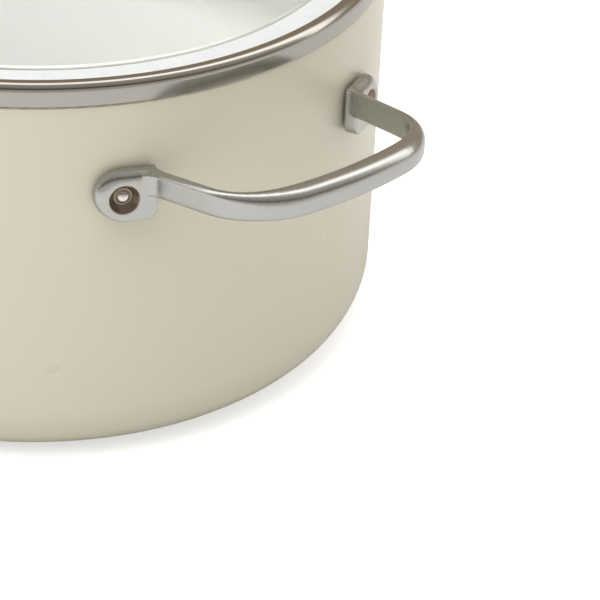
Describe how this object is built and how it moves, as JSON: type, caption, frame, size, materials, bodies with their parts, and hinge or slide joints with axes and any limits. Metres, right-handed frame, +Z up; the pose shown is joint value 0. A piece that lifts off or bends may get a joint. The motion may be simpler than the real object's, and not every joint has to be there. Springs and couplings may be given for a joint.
{
  "type": "saucepan with glass lid",
  "caption": "Straight-sided two-handled saucepan with a satin coated body, cast loop handles and a domed glass lid in a steel rim with a centre knob.",
  "frame": {"origin": "centre of the pot's base, on the surface it stands on", "axes": "+Z up through the lid's knob; the two loop handles point along +X and -X; the lid's steam vent is towards +Y"},
  "size_m": [0.3414, 0.2464, 0.1952],
  "materials": {
    "cream_coating": "satin ceramic coating over aluminium",
    "satin_steel": "satin brushed stainless steel casting",
    "rim_steel": "fine brushed stainless sheet, nearly polished",
    "base_steel": "circular-brushed magnetic stainless steel",
    "small_steel": "bright stainless steel",
    "lid_glass": "clear tempered glass with a faint green tint",
    "white_silicone": "smooth white silicone",
    "grey_silicone": "matte grey silicone"
  },
  "bodies": {
    "pot": {"pot_body": "cream_coating", "induction_disc": "base_steel", "handle_left": "satin_steel", "handle_right": "satin_steel", "stud_left_front": "small_steel", "stud_left_rear": "small_steel", "stud_right_front": "small_steel", "stud_right_rear": "small_steel", "push_washer_left_front": "satin_steel", "push_washer_left_rear": "satin_steel", "push_washer_right_front": "satin_steel", "push_washer_right_rear": "satin_steel"},
    "lid": {"lid_band": "rim_steel", "lid_glass": "lid_glass", "lid_seal": "white_silicone", "vent_eyelet": "small_steel", "vent_backing_ring": "small_steel", "knob": "satin_steel", "knob_collar": "satin_steel", "knob_upper_gasket": "grey_silicone", "knob_lower_gasket": "grey_silicone", "knob_washer": "small_steel", "knob_spring_washer": "small_steel", "knob_screw": "small_steel"}
  },
  "joints": [
    {"name": "lid_lift", "type": "slide", "parent": "pot", "child": "lid", "axis": [0, 0, 1], "range_m": [0, 0.15]}
  ]
}
